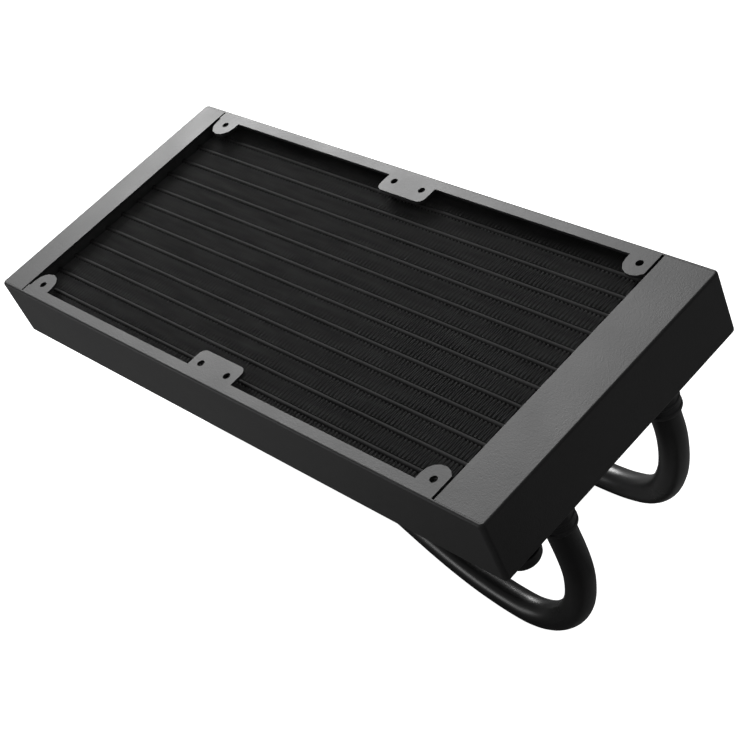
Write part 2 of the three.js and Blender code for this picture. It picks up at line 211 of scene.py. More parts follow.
MATERIALS = {
    "tank_paint": powder_coat("tank_paint", 0.030),
    "rail_paint": powder_coat("rail_paint", 0.034),
    "core_paint": core_paint("core_paint", 0.045, 0.6),
    "tube_paint": core_paint("tube_paint", 0.045, 0.7, 0.05),
    "fin_paint": core_paint("fin_paint", 0.10, 0.75, 0.4),
    "black_metal": turned_metal("black_metal", (0.016, 0.016, 0.017), 0.4, 0.0),
    "nickel_metal": turned_metal("nickel_metal", (0.42, 0.42, 0.41), 0.3, 1.0),
    "elbow_plastic": moulded_plastic("elbow_plastic"),
    "hose_rubber": hose_rubber("hose_rubber"),
    "seal_rubber": seal_rubber("seal_rubber"),
}
SLOTS = {row["node"]: row["material_slot"] for row in frame["record"]["subparts"]}
BODY = {node: body for body, names in frame["record"]["behaviour"]["bodies"].items() for node in names}


def add_piece(name, bm, node, angle=40, flat_faces=False):
    """A mesh as a piece that stands for a CAD node, with that node's body, slot and finish.
    flat_faces keeps its large faces flat right up to their rounded edges."""
    bmesh.ops.recalc_face_normals(bm, faces=bm.faces)
    mesh = bpy.data.meshes.new(name)
    bm.to_mesh(mesh)
    bm.free()
    mesh.materials.append(MATERIALS[SLOTS[node]])
    mesh.shade_smooth()
    mesh.set_sharp_from_angle(angle=math.radians(angle))
    piece = bpy.data.objects.new(name, mesh)
    bpy.context.collection.objects.link(piece)
    if flat_faces:
        piece.modifiers.new("even_faces", "WEIGHTED_NORMAL").keep_sharp = True
    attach(piece, BODY[node])
    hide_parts(node)
    return piece


# ---------------------------------------------------------------- hoses
HOSE_RADIUS = 5.4 * MM
HOSE_ROUTES = {
    "a": [
        (130, -28, -36.3), (130, -28, -42), (130.4, -28, -52), (129.9, -28, -62), (127.3, -28, -73),
        (122.6, -28, -84.5), (115, -28.1, -95.5), (105.5, -28.4, -103.7), (95, -28.5, -108),
        (83.5, -28.1, -109), (67, -26.8, -109), (52.5, -24.9, -109), (38, -22.5, -109),
        (23.6, -19.8, -109), (9, -17.1, -109), (-10, -14.5, -109), (-30, -13.2, -109), (-50, -12.8, -109),
        (-70, -13, -108.9), (-85, -13.2, -108.1), (-97, -13.4, -106.7), (-105, -13.5, -106.5),
    ],
    "b": [
        (130, 28, -36.3), (130, 28, -42), (129.6, 28.1, -51), (127.2, 28.4, -62.5), (122.6, 29, -75),
        (115, 29.6, -87.6), (105, 31, -97.2), (94, 32.6, -103.2), (83.5, 34, -107), (72, 34.9, -109),
        (58, 35, -109), (42, 33.6, -109), (24, 30.6, -109), (4, 26.8, -109), (-16, 23.2, -109),
        (-36, 20.4, -109), (-55, 18.6, -109), (-72, 17.8, -108.8), (-86, 17.5, -107.9),
        (-97, 17.4, -106.7), (-105, 17.4, -106.5),
    ],
}
HOSE_STEP = 2 * MM
HOSE_SIDES = 32


def smooth_line(points, step):
    """Points along the centripetal Catmull-Rom curve through the given points, about step apart."""
    first = points[0] * 2 - points[1]
    last = points[-1] * 2 - points[-2]
    ends = [first, *points, last]
    line = []
    for p0, p1, p2, p3 in zip(ends, ends[1:], ends[2:], ends[3:]):
        t01, t12, t23 = (math.sqrt((b - a).length) for a, b in ((p0, p1), (p1, p2), (p2, p3)))
        slope1 = ((p1 - p0) / t01 - (p2 - p0) / (t01 + t12) + (p2 - p1) / t12) * t12
        slope2 = ((p2 - p1) / t12 - (p3 - p1) / (t12 + t23) + (p3 - p2) / t23) * t12
        count = max(1, round((p2 - p1).length / step))
        for i in range(count):
            t = i / count
            line.append(
                p1 * (2 * t**3 - 3 * t**2 + 1) + slope1 * (t**3 - 2 * t**2 + t)
                + p2 * (3 * t**2 - 2 * t**3) + slope2 * (t**3 - t**2)
            )
    line.append(points[-1].copy())
    return line


def sweep(line, radius, sides):
    """A closed round tube along a line."""
    bm = bmesh.new()
    tangent = (line[1] - line[0]).normalized()
    across = tangent.orthogonal().normalized()
    turns = [2 * math.pi * k / sides for k in range(sides)]
    rings = []
    for i, point in enumerate(line):
        ahead = (line[min(i + 1, len(line) - 1)] - line[max(i - 1, 0)]).normalized()
        across = (tangent.rotation_difference(ahead) @ across).normalized()
        tangent = ahead
        side = tangent.cross(across)
        rings.append([
            bm.verts.new(point + (across * math.cos(a) + side * math.sin(a)) * radius) for a in turns
        ])
    for low, high in zip(rings, rings[1:]):
        for k in range(sides):
            n = (k + 1) % sides
            bm.faces.new((low[k], low[n], high[n], high[k]))
    bm.faces.new(rings[0][::-1])
    bm.faces.new(rings[-1])
    return bm


def add_hose(letter):
    points = [Vector(p) * MM for p in HOSE_ROUTES[letter]]
    line = smooth_line(points, HOSE_STEP)
    hose = add_piece(f"rubber_hose_{letter}", sweep(line, HOSE_RADIUS, HOSE_SIDES), f"hose_{letter}")
    return hose, line


HOSES = {letter: add_hose(letter) for letter in "ab"}


# ---------------------------------------------------------------- turned pieces
ROUND_SIDES = 64
SEAL_SIDES = 16
THREAD_DEPTH = 0.6
THREAD_CREST = 1.25
THREAD_STEPS = 8


def spun(profile, sides=ROUND_SIDES):
    """A closed profile of (radius, height) turned round Z. A radius may be a function of the angle."""
    bm = bmesh.new()
    turns = [2 * math.pi * k / sides for k in range(sides)]
    rows = []
    for radius, height in profile:
        if radius == 0:
            rows.append([bm.verts.new((0, 0, height))] * sides)
        else:
            reach = [radius(a) if callable(radius) else radius for a in turns]
            rows.append([
                bm.verts.new((r * math.cos(a), r * math.sin(a), height)) for r, a in zip(reach, turns)
            ])
    for low, high in zip(rows, rows[1:] + rows[:1]):
        for k in range(sides):
            n = (k + 1) % sides
            corners = list(dict.fromkeys((low[k], low[n], high[n], high[k])))
            if len(corners) > 2:
                bm.faces.new(corners)
    return bm


def placed(bm, at, turn=None):
    """Moves a mesh that was made in millimetres round its own origin to its place."""
    matrix = Matrix.Translation(at) @ (turn or Matrix()) @ Matrix.Scale(MM, 4)
    bmesh.ops.transform(bm, matrix=matrix, verts=bm.verts)
    return bm


def middle(node):
    low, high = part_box(node)
    return (Vector(low) + Vector(high)) / 2


def rim(radius, height, edge):
    """The rounded outer edge at the top of a turned profile, from below."""
    return [(radius, height - edge), (radius - 0.3 * edge, height - 0.3 * edge), (radius - edge, height)]


def thread(major, pitch, start, end):
    """Rows of a right-handed thread on Z, with its crests rounded off and a lead-in at each end."""
    depth = THREAD_DEPTH * pitch
    count = round((end - start) / pitch * THREAD_STEPS)
    rows = []
    for i in range(count + 1):
        z = start + (end - start) * i / count
        fade = min(1, (end - z) / pitch, (z - start) / pitch)

        def reach(angle, z=z, fade=fade):
            turn = (z / pitch - angle / (2 * math.pi)) % 1
            crest = min(1, THREAD_CREST * (1 - abs(2 * turn - 1)))
            return major - depth + depth * crest * max(fade, 0)

        rows.append((reach, z))
    return rows


def torus(major, minor, z):
    turns = [2 * math.pi * k / SEAL_SIDES for k in range(SEAL_SIDES)]
    return spun([(major + minor * math.cos(a), z + minor * math.sin(a)) for a in turns])


DOWN = Matrix.Rotation(math.pi, 4, "X")
TO_X = Matrix.Rotation(math.pi / 2, 4, "Y")
TO_Y = Matrix.Rotation(-math.pi / 2, 4, "X")


# ---------------------------------------------------------------- bent sheet: tanks and rails
SHARP = math.radians(30)
FLAT = math.radians(0.5)
WELD = 1e-6
NEAR = 1e-5
SHEET_BEND = 1.8 * MM
CORNER_BEND = 2 * MM
CORNER_STEPS = 8
EDGE_BEND = 1.0 * MM
EDGE_STEPS = 5
BROKEN_EDGE = 0.12 * MM
BRAZE = 0.22 * MM
SHEETS = ("side_rail_near", "side_rail_far", "port_tank_shell", "return_tank_shell")
HAIR = 0.001 * MM
FAN = 120 * MM
SCREW_SQUARE = 105 * MM
SCREW_HOLE_RADIUS = 1.455 * MM  # just over the CAD hole's radius, so that its flat sides go
SCREW_SIDES = 32


def cleaned_copy(node):
    """A CAD node's mesh with shared corners and without the lines across its flat faces."""
    bm = bmesh.new()
    bm.from_mesh(NODES[node].data)
    bmesh.ops.remove_doubles(bm, verts=bm.verts, dist=WELD)
    bmesh.ops.dissolve_limit(bm, angle_limit=FLAT, verts=bm.verts, edges=bm.edges)
    return bm


def break_edges(bm, segments):
    """Takes the sharpness off every sharp edge."""
    edges = [e for e in bm.edges if len(e.link_faces) == 2 and e.calc_face_angle(0) > SHARP]
    bmesh.ops.bevel(
        bm, geom=edges, offset=BROKEN_EDGE, segments=segments, profile=0.5, affect="EDGES",
        clamp_overlap=True,
    )


def outer_box():
    """The lowest and the highest corner of the tanks and rails together."""
    boxes = [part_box(node) for node in SHEETS]
    low = Vector(min(box[0][i] for box in boxes) for i in range(3))
    high = Vector(max(box[1][i] for box in boxes) for i in range(3))
    return low, high


OUTSIDE = outer_box()


def is_upright(edge):
    return abs(edge.verts[0].co.z - edge.verts[1].co.z) > HAIR


def outside_block():
    """The radiator's outer box, a hair larger, with round upright corners and softened rims."""
    bm = bmesh.new()
    bmesh.ops.create_cube(bm, size=1)
    low, high = OUTSIDE
    for vert in bm.verts:
        for i in range(3):
            vert.co[i] = high[i] + HAIR if vert.co[i] > 0 else low[i] - HAIR
    upright = [e for e in bm.edges if is_upright(e)]
    bmesh.ops.bevel(
        bm, geom=upright, offset=CORNER_BEND, segments=CORNER_STEPS, profile=0.5, affect="EDGES",
    )
    rims = [e for e in bm.edges if not is_upright(e)]
    bmesh.ops.bevel(bm, geom=rims, offset=EDGE_BEND, segments=EDGE_STEPS, profile=0.5, affect="EDGES")
    return bm


def scratch_object(bm, name):
    """A mesh as an object that only lives for one cut."""
    mesh = bpy.data.meshes.new(name)
    bm.to_mesh(mesh)
    bm.free()
    thing = bpy.data.objects.new(name, mesh)
    bpy.context.collection.objects.link(thing)
    return thing


def square_ends(bm):
    """Takes the few-sided bends at the ends of a CAD sheet out to square corners."""
    low, high = OUTSIDE
    for vert in bm.verts:
        end = low.x if vert.co.x < 0 else high.x
        face = low.z if vert.co.z < (low.z + high.z) / 2 else high.z
        along, up = SHEET_BEND - abs(end - vert.co.x), SHEET_BEND - abs(face - vert.co.z)
        if min(along, up) > NEAR and abs(math.hypot(along, up) - SHEET_BEND) < NEAR:
            vert.co.x, vert.co.z = end, face
    bmesh.ops.remove_doubles(bm, verts=bm.verts, dist=WELD)
    bmesh.ops.dissolve_limit(bm, angle_limit=FLAT, verts=bm.verts, edges=bm.edges)


def cut(bm, tool, operation):
    """A mesh after a Boolean operation with a tool mesh, with the slivers of the cut taken out."""
    blank, cutter = scratch_object(bm, "blank"), scratch_object(tool, "cutter")
    step = blank.modifiers.new("cut", "BOOLEAN")
    step.operation, step.solver, step.object = operation, "EXACT", cutter
    result = bmesh.new()
    result.from_object(blank, bpy.context.evaluated_depsgraph_get())
    for thing in (blank, cutter):
        mesh = thing.data
        bpy.data.objects.remove(thing)
        bpy.data.meshes.remove(mesh)
    bmesh.ops.remove_doubles(result, verts=result.verts, dist=2 * HAIR)
    bmesh.ops.dissolve_limit(result, angle_limit=FLAT, verts=result.verts, edges=result.edges)
    return result


def drills(y):
    """One round drill for each screw hole of the rail on the same side as y."""
    low, high = OUTSIDE
    reach = high.z - low.z + 2 * MM
    bm = bmesh.new()
    for x in (fan * FAN / 2 + end * SCREW_SQUARE / 2 for fan in (-1, 1) for end in (-1, 1)):
        at = Vector((x, math.copysign(SCREW_SQUARE / 2, y), (low.z + high.z) / 2))
        bmesh.ops.create_cone(
            bm, cap_ends=True, segments=SCREW_SIDES, radius1=SCREW_HOLE_RADIUS, radius2=SCREW_HOLE_RADIUS,
            depth=reach, matrix=Matrix.Translation(at),
        )
    return bm


def add_rail(side):
    """A rail is one bent sheet: the rim of its outer face is softened, its other edges are only broken."""
    node = f"side_rail_{side}"
    bm = cleaned_copy(node)
    square_ends(bm)
    bm = cut(bm, outside_block(), "INTERSECT")
    bm = cut(bm, drills(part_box(node)[0][1]), "DIFFERENCE")
    break_edges(bm, 2)
    add_piece(f"bent_rail_{side}", bm, node, flat_faces=True)


def add_tank(node, name):
    """A folded tank, brazed to the rails at its sides, so only a hairline parts them."""
    bm = cleaned_copy(node)
    low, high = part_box(node)
    for vert in bm.verts:
        if min(vert.co.y - low[1], high[1] - vert.co.y) < NEAR:
            vert.co.y += math.copysign(BRAZE, vert.co.y)
    square_ends(bm)
    bm = cut(bm, outside_block(), "INTERSECT")
    break_edges(bm, 2)
    add_piece(name, bm, node, flat_faces=True)


def add_plain_sheet(node, name):
    """A header plate or the divider, with its edges broken."""
    bm = cleaned_copy(node)
    break_edges(bm, 1)
    add_piece(name, bm, node, flat_faces=True)


# ---------------------------------------------------------------- core
TUBE_SIDES = 12
FIN_SHEET = 0.1 * MM
FIN_PITCH = 0.9 * MM
CROWN = 0.24 * MM
LOUVRES = 4
LOUVRE_TILT = math.radians(24)
LOUVRE_FILL = 0.92
LOUVRE_INSET = 0.09
FIN_BAND = 1.3 * MM
FIN_PROUD = 0.25 * MM


def add_tube(number):
    """A flat tube with half-round edges."""
    node = f"flat_tube_{number:02d}"
    low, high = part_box(node)
    radius = (high[1] - low[1]) / 2
    y = (high[1] + low[1]) / 2
    outline = []
    for middle_z, start in ((high[2] - radius, 0), (low[2] + radius, math.pi)):
        for k in range(TUBE_SIDES + 1):
            angle = start + math.pi * k / TUBE_SIDES
            outline.append((y + radius * math.cos(angle), middle_z + radius * math.sin(angle)))
    bm = bmesh.new()
    ends = [[bm.verts.new((x, v, w)) for v, w in outline] for x in (low[0], high[0])]
    count = len(outline)
    for k in range(count):
        n = (k + 1) % count
        bm.faces.new((ends[0][k], ends[0][n], ends[1][n], ends[1][k]))
    bm.faces.new(ends[0])
    bm.faces.new(ends[1])
    add_piece(f"tube_{number:02d}", bm, node)


def fold_line(low, high):
    """The zigzag of one fin strip seen from above, as (x, y), with flat crowns on the tubes."""
    half = FIN_SHEET / 2
    legs = round((high[0] - low[0]) / FIN_PITCH)
    pitch = (high[0] - low[0] - 2 * CROWN) / legs
    line = []
    for i in range(legs + 1):
        x = low[0] + CROWN + i * pitch
        y = (high[1] - half) if i % 2 else (low[1] + half)
        line += [(x - CROWN + half * (i == 0), y), (x + CROWN - half * (i == legs), y)]
    return line


def ribbon(bm, line, z0, z1):
    """A closed thin sheet that follows line and stands from z0 to z1."""
    half = FIN_SHEET / 2
    sides = ([], [])
    for i, (x, y) in enumerate(line):
        ahead = Vector(line[min(i + 1, len(line) - 1)]) - Vector(line[max(i - 1, 0)])
        across = Vector((-ahead.y, ahead.x)).normalized() * half
        for side, sign in zip(sides, (1, -1)):
            side.append([bm.verts.new((x + sign * across.x, y + sign * across.y, z)) for z in (z0, z1)])
    left, right = sides
    for i in range(len(line) - 1):
        a, b, c, d = left[i], left[i + 1], right[i + 1], right[i]
        bm.faces.new((a[0], b[0], b[1], a[1]))
        bm.faces.new((d[0], d[1], c[1], c[0]))
        bm.faces.new((a[1], b[1], c[1], d[1]))
        bm.faces.new((a[0], d[0], c[0], b[0]))
    for a, d in ((left[0], right[0]), (left[-1], right[-1])):
        bm.faces.new((a[0], a[1], d[1], d[0]))


def louvre(bm, start, end, z, width, tilt):
    """One slat across a leg of the fold, turned out of the leg's plane by tilt."""
    along = Vector((end[0] - start[0], end[1] - start[1], 0))
    inset = along * LOUVRE_INSET
    first = Vector((start[0], start[1], z)) + inset
    last = Vector((end[0], end[1], z)) - inset
    out = Vector((-along.y, along.x, 0)).normalized()
    wide = (Vector((0, 0, 1)) * math.cos(tilt) + out * math.sin(tilt)) * width / 2
    thick = wide.cross(along).normalized() * FIN_SHEET / 2
    section = ((wide, thick), (wide, -thick), (-wide, -thick), (-wide, thick))
    corners = [[bm.verts.new(p + u + v) for u, v in section] for p in (first, last)]
    for k in range(4):
        n = (k + 1) % 4
        bm.faces.new((corners[0][k], corners[0][n], corners[1][n], corners[1][k]))
    bm.faces.new(corners[0])
    bm.faces.new(corners[1])


def add_fins(number):
    """One folded fin strip: three solid bands, and a bank of louvres either side of the middle one.
    It reaches a little further than its CAD slab, until it all but touches the tubes that it is brazed to."""
    node = f"fin_strip_{number:02d}"
    low, high = (Vector(corner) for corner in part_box(node))
    low -= Vector((0, BRAZE, FIN_PROUD))
    high += Vector((0, BRAZE, FIN_PROUD))
    line = fold_line(low, high)
    middle_z = (low[2] + high[2]) / 2
    top_band = (high[2] - FIN_BAND, high[2])
    middle_band = (middle_z - FIN_BAND / 2, middle_z + FIN_BAND / 2)
    bottom_band = (low[2], low[2] + FIN_BAND)
    bm = bmesh.new()
    for z0, z1 in (top_band, middle_band, bottom_band):
        ribbon(bm, line, z0, z1)
    banks = ((middle_band[1], top_band[0], LOUVRE_TILT), (bottom_band[1], middle_band[0], -LOUVRE_TILT))
    for bottom, top, tilt in banks:
        width = (top - bottom) / LOUVRES
        for k in range(LOUVRES):
            z = bottom + (k + 0.5) * width
            for start, end in zip(line[1::2], line[2::2]):
                louvre(bm, start, end, z, width * LOUVRE_FILL, tilt)
    add_piece(f"folded_fins_{number:02d}", bm, node, angle=20)


# ---------------------------------------------------------------- hose fittings
CRIMPS = 8
CRIMP_DEPTH = 0.35
CRIMP_BANDS = ((1.9, 4.1), (5.5, 7.7))
CRIMP_RAMP = 0.4
BARB_TEETH = 3
BARB_RADIUS = 3.1


def crimped(radius):
    """A sleeve's radius where the jaws of a crimping tool have pressed it into flats."""
    def reach(angle):
        share = (angle * CRIMPS / (2 * math.pi)) % 1
        return radius - CRIMP_DEPTH * (0.45 + 0.55 * math.sin(math.pi * share))
    return reach


def barbs(base, length, radius, bore):
    """The teeth of a hose stub, from base up, ending at the water way."""
    tooth = length / BARB_TEETH
    profile = []
    for i in range(BARB_TEETH):
        profile += [
            (radius + 0.35, base + i * tooth + 0.1), (radius + 0.3, base + i * tooth + 0.3),
            (radius - 0.15, base + (i + 1) * tooth),
        ]
    return profile + [(bore + 0.2, base + length), (bore, base + length - 0.2)]


def add_ferrule(node, name, turn, axis, out):
    """A crimped sleeve over a hose's end. out is the way that the hose leaves along the axis."""
    low, high = (Vector(c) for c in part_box(node))
    start = middle(node)
    start[axis] = low[axis] if out > 0 else high[axis]
    length = (high[axis] - low[axis]) / MM
    radius = (high[1] - low[1]) / 2 / MM
    inside = HOSE_RADIUS / MM + 0.06
    neck = inside - 1.1
    pressed = crimped(radius)
    profile = [(neck, 0), (radius - 0.5, 0), (radius - 0.15, 0.15), (radius, 0.5)]
    for band_start, band_end in CRIMP_BANDS:
        profile += [
            (radius, band_start - CRIMP_RAMP), (pressed, band_start), (pressed, band_end),
            (radius, band_end + CRIMP_RAMP),
        ]
    profile += [
        *rim(radius, length, 0.5), (inside + 0.25, length), (inside, length - 0.25), (inside, 1.2),
        (neck, 1.2),
    ]
    return add_piece(name, placed(spun(profile), start, turn), node, angle=25)


def add_port(letter):
    """A turned stub with a flange and barbs, brazed into the tank."""
    node = f"hose_port_{letter}"
    low, high = (Vector(c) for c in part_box(node))
    spigot_height = 2.2
    at = middle(node)
    at.z = high.z - spigot_height * MM
    flange = (high.x - low.x) / 2 / MM
    length = (high.z - low.z) / MM - spigot_height - 1
    bore, spigot = 2.1, 4
    profile = [
        (bore, 0.3 - spigot_height), (bore + 0.3, -spigot_height), (spigot - 0.3, -spigot_height),
        (spigot, 0.3 - spigot_height), (spigot, 0), (flange - 0.2, 0), (flange, 0.2), (flange, 0.8),
        (flange - 0.2, 1), *barbs(1, length, BARB_RADIUS, bore),
    ]
    add_piece(f"barbed_port_{letter}", placed(spun(profile), at, DOWN), node, angle=30)
    add_ferrule(f"port_ferrule_{letter}", f"port_sleeve_{letter}", DOWN, 2, -1)


# ---------------------------------------------------------------- fill plug
PLUG_PITCH = 1.25
PLUG_SIDES = 72
SOCKET_DEPTH = 3.2


def hexagon(corner):
    """The radius of a hexagon's wall, from the radius of its corners."""
    def reach(angle):
        part = (angle + math.pi / 6) % (math.pi / 3) - math.pi / 6
        return corner * math.cos(math.pi / 6) / math.cos(part)
    return reach


def add_boss():
    """The threaded boss under the wide tank, with a fillet of braze round its foot."""
    low, high = (Vector(c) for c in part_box("fill_port_boss"))
    neck_height = 5
    at = middle("fill_port_boss")
    at.z = high.z - neck_height * MM
    boss = (high.x - low.x) / 2 / MM
    height = (high.z - low.z) / MM - neck_height
    bore, neck = 4.2, 5.2
    profile = [
        (bore, 0.4 - neck_height), (bore + 0.4, -neck_height), (neck - 0.3, -neck_height),
        (neck, 0.3 - neck_height), (neck, 0), (boss - 0.1, 0), (boss, 0.1), (boss, 0.25), (boss - 0.25, 0.5),
        (boss - 0.3, height - 0.6), (boss - 0.45, height - 0.2), (boss - 0.8, height), (bore + 0.4, height),
        (bore, height - 0.4),
    ]
    add_piece("brazed_boss", placed(spun(profile), at, DOWN), "fill_port_boss", angle=30)


def add_plug_seal():
    low, high = (Vector(c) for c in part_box("fill_plug_seal"))
    section = (high.z - low.z) / 2 / MM
    ring = (high.x - low.x) / 2 / MM - section
    seal = placed(torus(ring, section, 0), middle("fill_plug_seal"), DOWN)
    add_piece("plug_seal", seal, "fill_plug_seal", angle=60)


def add_plug():
    """The plug: a domed head with a hexagon socket, over a threaded shank."""
    low, high = (Vector(c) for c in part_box("fill_plug"))
    head_height = 5.2
    under = low.z + head_height * MM
    at = middle("fill_plug")
    at.z = under
    head = (high.x - low.x) / 2 / MM
    tip = -(high.z - under) / MM
    major, shank = 4, -7.5
    socket, floor = hexagon(2.9), head_height - SOCKET_DEPTH
    rows = thread(major, PLUG_PITCH, shank, -1.2)
    profile = [
        (0, tip), (major - 1.2, tip), (major - 0.9, tip + 0.2), *rows, (major - 0.8, -0.6), (major - 0.3, 0),
        (head - 0.4, 0), (head - 0.1, 0.15), (head, 0.5), (head, 2.6), (head - 0.15, 3.5), (head - 0.6, 4.35),
        (head - 1.3, 4.9), (head - 2.1, head_height), (3.3, head_height), (hexagon(3.1), head_height - 0.15),
        (socket, head_height - 0.5), (socket, floor), (hexagon(2.2), floor - 0.4), (0, floor - 0.9),
    ]
    add_piece("screw_plug", placed(spun(profile, PLUG_SIDES), at, DOWN), "fill_plug", angle=30)


# ---------------------------------------------------------------- elbows at the hoses' ends
ELBOW_RADIUS = 6.2
HOSE_LEG = 9
BASE_LEG = 7.5
BEND_RADIUS = 6.9
ELBOW_STEPS = 20
ELBOW_SIDES = 48
ELBOW_WAY = 1.7
JOURNAL = 3.3
SEAL_AT = 10.4
SEAL_GROOVE = 0.85
CLIP_AT = 14.9
CLIP_GROOVE = 0.7
GROOVE_HALF = 0.6
PARTING_LINE = 0.14
PARTING_HALF = math.radians(2)
THREAD_PITCH = 0.907
KNURL_TEETH = 24
KNURL_DEPTH = 0.35
FINE_SIDES = 144


def bend_span(hose_end):
    """Where the bend starts and ends along the elbow's middle line."""
    bend_start = hose_end - BEND_RADIUS
    return bend_start, bend_start + math.pi / 2 * BEND_RADIUS


def elbow_rows(hose_end, journal_end):
    """The elbow's outside and then its water way, as (distance along its middle line, radius)."""
    bend_start, bend_end = bend_span(hose_end)

    def from_hose(x):
        return hose_end - x

    def from_corner(y):
        return bend_end + y - BEND_RADIUS

    teeth = barbs(HOSE_LEG, hose_end - HOSE_LEG, BARB_RADIUS, ELBOW_WAY)
    stub = [(from_hose(x), r) for r, x in teeth][::-1]
    shell = ELBOW_RADIUS
    legs = [
        (from_hose(HOSE_LEG), shell - 0.4), (from_hose(HOSE_LEG - 0.1), shell - 0.1),
        (from_hose(HOSE_LEG - 0.4), shell),
    ]
    bend_length = bend_end - bend_start
    bend = [(bend_start + bend_length * k / ELBOW_STEPS, shell) for k in range(ELBOW_STEPS + 1)]
    legs += bend + [
        (from_corner(BASE_LEG - 0.4), shell), (from_corner(BASE_LEG - 0.1), shell - 0.1),
        (from_corner(BASE_LEG), shell - 0.4), (from_corner(BASE_LEG), JOURNAL),
    ]
    for at, depth in ((SEAL_AT, SEAL_GROOVE), (CLIP_AT, CLIP_GROOVE)):
        start, end = at - GROOVE_HALF, at + GROOVE_HALF
        legs += [
            (from_corner(start - 0.1), JOURNAL), (from_corner(start), JOURNAL - 0.1),
            (from_corner(start), JOURNAL - depth), (from_corner(end), JOURNAL - depth),
            (from_corner(end), JOURNAL - 0.1), (from_corner(end + 0.1), JOURNAL),
        ]
    legs += [
        (from_corner(journal_end - 0.4), JOURNAL), (from_corner(journal_end), JOURNAL - 0.4),
        (from_corner(journal_end), ELBOW_WAY + 0.2), (from_corner(journal_end - 0.2), ELBOW_WAY),
    ]
    return stub + legs + [(at, ELBOW_WAY) for at, _ in bend[::-1]]


def elbow_body(hose_end, journal_end):
    """The moulded elbow in one skin, from its barbs on +X round to its journal on +Y, with a parting line."""
    bend_start, bend_end = bend_span(hose_end)
    turns = [2 * math.pi * k / ELBOW_SIDES for k in range(ELBOW_SIDES)]
    turns += [(line + side * PARTING_HALF) % (2 * math.pi) for line in (0, math.pi) for side in (-1, 1)]
    turns.sort()
    bm = bmesh.new()
    rings = []
    for at, radius in elbow_rows(hose_end, journal_end):
        angle = min(max(at - bend_start, 0) / BEND_RADIUS, math.pi / 2)
        point = Vector((BEND_RADIUS * (1 - math.sin(angle)), BEND_RADIUS * (1 - math.cos(angle)), 0))
        point.x += max(bend_start - at, 0)
        point.y += max(at - bend_end, 0)
        side = Vector((-math.sin(angle), -math.cos(angle), 0))
        ring = []
        for turn in turns:
            on_line = radius == ELBOW_RADIUS and (turn == 0 or math.isclose(turn, math.pi))
            reach = radius + PARTING_LINE * on_line
            out = side * math.cos(turn) + Vector((0, 0, 1)) * math.sin(turn)
            ring.append(bm.verts.new(point + out * reach))
        rings.append(ring)
    for low, high in zip(rings, rings[1:] + rings[:1]):
        for k in range(len(turns)):
            n = (k + 1) % len(turns)
            bm.faces.new((low[k], low[n], high[n], high[k]))
    return bm


def add_elbow(letter):
    node = f"elbow_{letter}"
    low, high = (Vector(c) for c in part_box(node))
    corner = Vector((low.x + ELBOW_RADIUS * MM, low.y + ELBOW_RADIUS * MM, middle(node).z))
    body = placed(elbow_body((high.x - corner.x) / MM, (high.y - corner.y) / MM), corner)
    fittings = [add_piece(f"moulded_elbow_{letter}", body, node, angle=35)]
    fittings.append(add_ferrule(f"elbow_ferrule_{letter}", f"elbow_sleeve_{letter}", TO_X, 0, 1))

    seal = placed(torus(JOURNAL - 0.35, 0.38, SEAL_AT), corner, TO_Y)
    fittings.append(add_piece(f"journal_seal_{letter}", seal, f"swivel_seal_{letter}", angle=60))
    clip = placed(snap_ring(), corner, TO_Y)
    fittings.append(add_piece(f"snap_ring_{letter}", clip, f"swivel_clip_{letter}"))
    fittings += add_rotary_base(letter, corner)
    return fittings


def snap_ring():
    """A flat open ring in the journal's last groove."""
    inner, outer, low, high = JOURNAL - 0.5, JOURNAL + 0.5, CLIP_AT - 0.3, CLIP_AT + 0.3
    gap = math.radians(35)
    steps = 40
    bm = bmesh.new()
    rings = []
    for i in range(steps + 1):
        angle = gap / 2 + (2 * math.pi - gap) * i / steps
        rings.append([
            bm.verts.new((r * math.cos(angle), r * math.sin(angle), z))
            for r, z in ((inner, low), (outer, low), (outer, high), (inner, high))
        ])
    for a, b in zip(rings, rings[1:]):
        for k in range(4):
            n = (k + 1) % 4
            bm.faces.new((a[k], a[n], b[n], b[k]))
    bm.faces.new(rings[0])
    bm.faces.new(rings[-1])
    return bm


def knurled(radius):
    """The radius of a collar with straight grooves for the fingers."""
    def reach(angle):
        return radius - KNURL_DEPTH * abs(math.sin(KNURL_TEETH * angle / 2))
    return reach


def add_rotary_base(letter, corner):
    """The plated base that turns on the elbow: a knurled collar over a G1/8 thread."""
    start = BASE_LEG + 0.3
    collar_end = start + 4.2
    end = collar_end + 6
    shoulder = end - 4
    collar, bore, wide_bore, major = 7.2, 3.5, 4.2, 4.86
    grip = knurled(collar)
    profile = [
        (bore + 0.2, start), (collar - 0.8, start), (collar - 0.45, start + 0.15), (grip, start + 0.6),
        (grip, collar_end - 0.6), (collar - 0.45, collar_end - 0.15), (collar - 0.8, collar_end),
        (major - 0.5, collar_end), (major - 0.55, collar_end + 0.8),
        *thread(major, THREAD_PITCH, collar_end + 0.9, end - 0.1), (major - 0.6, end),
        (wide_bore + 0.05, end), (wide_bore, end - 0.1), (wide_bore, shoulder), (bore, shoulder),
        (bore, start + 0.2),
    ]
    turned = placed(spun(profile, FINE_SIDES), corner, TO_Y)
    base = add_piece(f"swivel_base_{letter}", turned, f"rotary_base_{letter}", angle=30)
    seal = placed(torus(major + 1, 0.75, collar_end + 0.85), corner, TO_Y)
    return [base, add_piece(f"face_seal_{letter}", seal, f"base_seal_{letter}", angle=60)]


